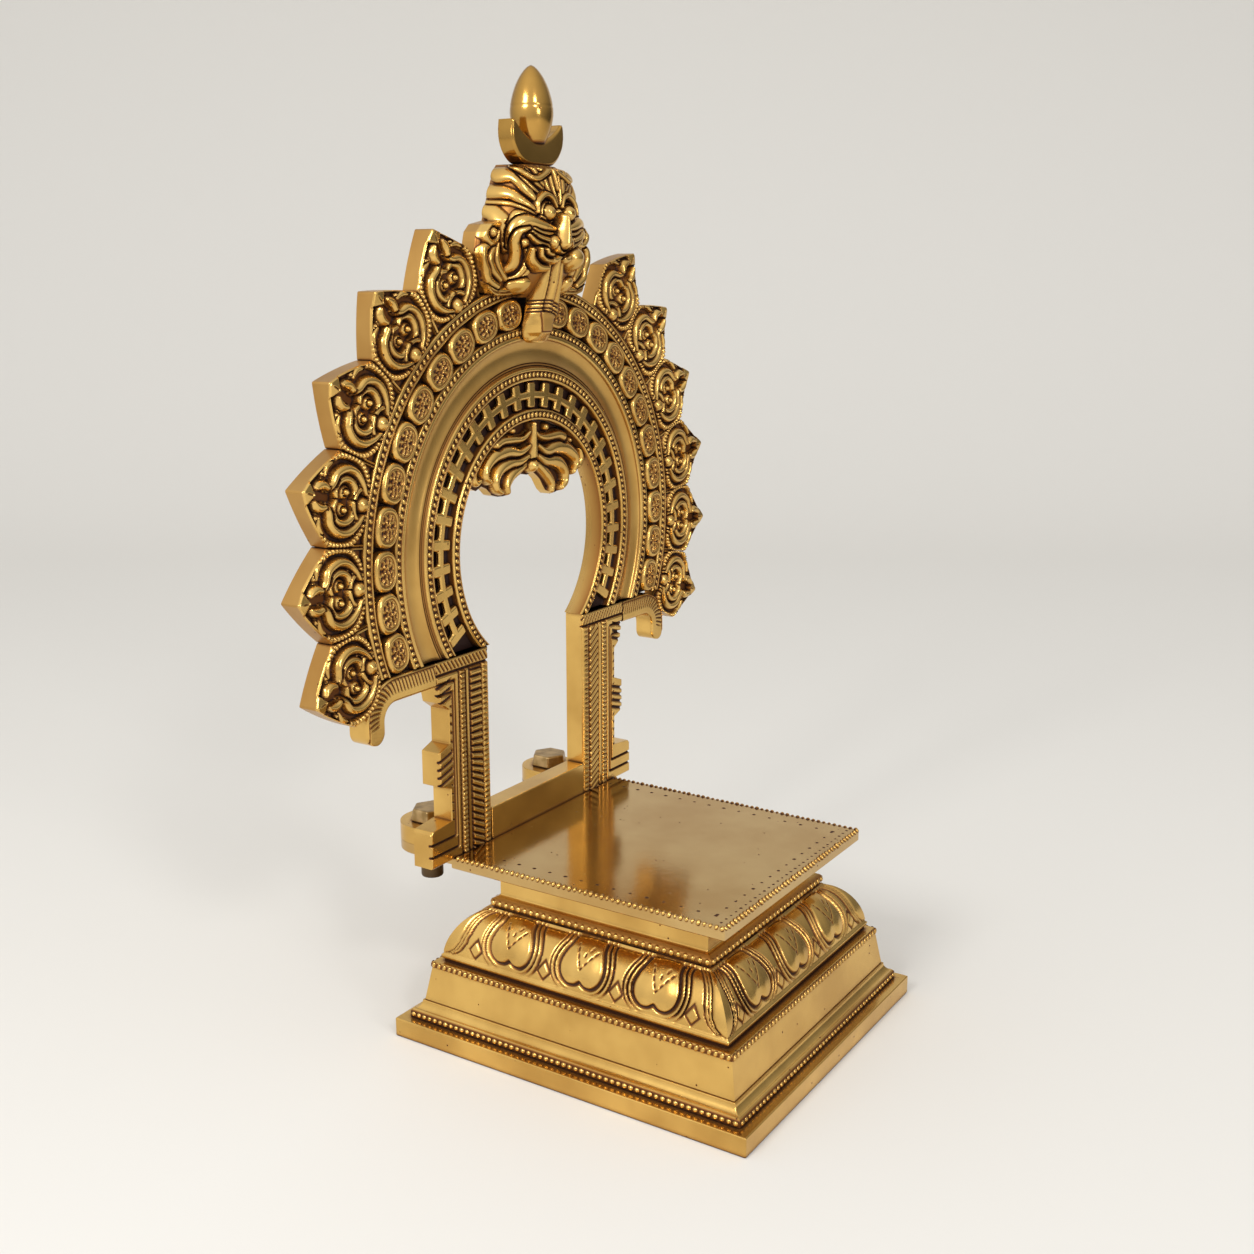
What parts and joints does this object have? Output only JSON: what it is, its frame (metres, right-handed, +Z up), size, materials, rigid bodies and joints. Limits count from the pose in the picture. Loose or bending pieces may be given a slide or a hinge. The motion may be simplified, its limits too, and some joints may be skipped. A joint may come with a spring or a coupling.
{
  "type": "deity throne",
  "caption": "Brass throne for a small household deity: a stepped lotus pedestal with a flat seat plate, and a bolted horseshoe arch bordered with flames under a mask crest.",
  "frame": {"origin": "on the ground, under the middle of the whole plan", "axes": "+Z up, +X to the viewer's right, -Y towards the front of the throne"},
  "size_m": [0.2366, 0.1552, 0.3294],
  "materials": {
    "brass": "polished cast brass with brown patina in the recesses",
    "fret_brass": "dull brass openwork, darkened in the recesses",
    "bolt_brass": "worn dull brass, stained"
  },
  "bodies": {
    "pedestal": {"foot_slab": "brass", "foot_moulding": "brass", "dado": "brass", "lotus_course": "brass", "neck_moulding": "brass", "seat_plate": "brass"},
    "arch": {"arch_ring": "brass", "fret_band": "fret_brass", "crossbar": "brass", "leaf_pendant": "brass", "kirtimukha_mask": "brass", "crescent": "brass", "bud_finial": "brass", "pillar_left": "brass", "hook_bracket_left": "brass", "arch_lug_left": "brass", "flame_left_1": "brass", "flame_left_2": "brass", "flame_left_3": "brass", "flame_left_4": "brass", "flame_left_5": "brass", "flame_left_6": "brass", "medallion_left_1": "brass", "medallion_left_2": "brass", "medallion_left_3": "brass", "medallion_left_4": "brass", "medallion_left_5": "brass", "medallion_left_6": "brass", "medallion_left_7": "brass", "medallion_left_8": "brass", "medallion_left_9": "brass", "medallion_left_10": "brass", "medallion_left_11": "brass", "pillar_right": "brass", "hook_bracket_right": "brass", "arch_lug_right": "brass", "flame_right_1": "brass", "flame_right_2": "brass", "flame_right_3": "brass", "flame_right_4": "brass", "flame_right_5": "brass", "flame_right_6": "brass", "medallion_right_1": "brass", "medallion_right_2": "brass", "medallion_right_3": "brass", "medallion_right_4": "brass", "medallion_right_5": "brass", "medallion_right_6": "brass", "medallion_right_7": "brass", "medallion_right_8": "brass", "medallion_right_9": "brass", "medallion_right_10": "brass", "medallion_right_11": "brass"},
    "bolt_left": {"bolt_left": "bolt_brass"},
    "bolt_right": {"bolt_right": "bolt_brass"}
  },
  "joints": [
    {"name": "arch_lift", "type": "slide", "parent": "pedestal", "child": "arch", "axis": [0, 0, 1], "range_m": [0, 0.04]},
    {"name": "bolt_left_withdraw", "type": "slide", "parent": "arch", "child": "bolt_left", "axis": [0, 0, 1], "range_m": [0, 0.03]},
    {"name": "bolt_right_withdraw", "type": "slide", "parent": "arch", "child": "bolt_right", "axis": [0, 0, 1], "range_m": [0, 0.03]}
  ]
}
